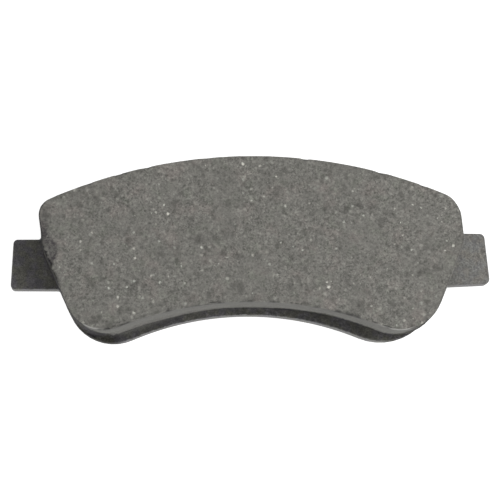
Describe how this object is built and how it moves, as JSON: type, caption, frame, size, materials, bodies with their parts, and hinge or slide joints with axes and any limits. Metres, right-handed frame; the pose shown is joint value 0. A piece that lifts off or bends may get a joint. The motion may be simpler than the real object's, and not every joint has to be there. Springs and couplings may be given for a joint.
{
  "type": "disc brake pad",
  "caption": "Disc brake pad with a grey friction block bonded to a black lugged steel backing plate, with a layered noise shim.",
  "frame": {"origin": "middle of the noise shim's back face, where the caliper piston or finger pushes, which is also the surface that the pad lies on", "axes": "+Z out of the friction face, towards the disc; +X along the pad, from the narrower-cornered end to the rounder-cornered end; +Y towards the long convex edge"},
  "size_m": [0.1377, 0.0537, 0.0187],
  "materials": {
    "friction_mix": "ground, matt, speckled",
    "underlayer_mix": "moulded, matt, painted over",
    "bond_adhesive": "cured film",
    "painted_steel": "black powder paint, fine orange peel",
    "shim_adhesive_film": "pressure-sensitive film",
    "shim_inner_rubber_coat": "matt",
    "shim_sheet_steel": "cold-rolled sheet",
    "shim_outer_rubber_coat": "matt"
  },
  "bodies": {
    "root": {"friction_block": "friction_mix", "underlayer": "underlayer_mix", "bond_film": "bond_adhesive", "backing_plate": "painted_steel", "shim_adhesive": "shim_adhesive_film", "shim_inner_rubber": "shim_inner_rubber_coat", "shim_steel_core": "shim_sheet_steel", "shim_outer_rubber": "shim_outer_rubber_coat"}
  },
  "joints": []
}
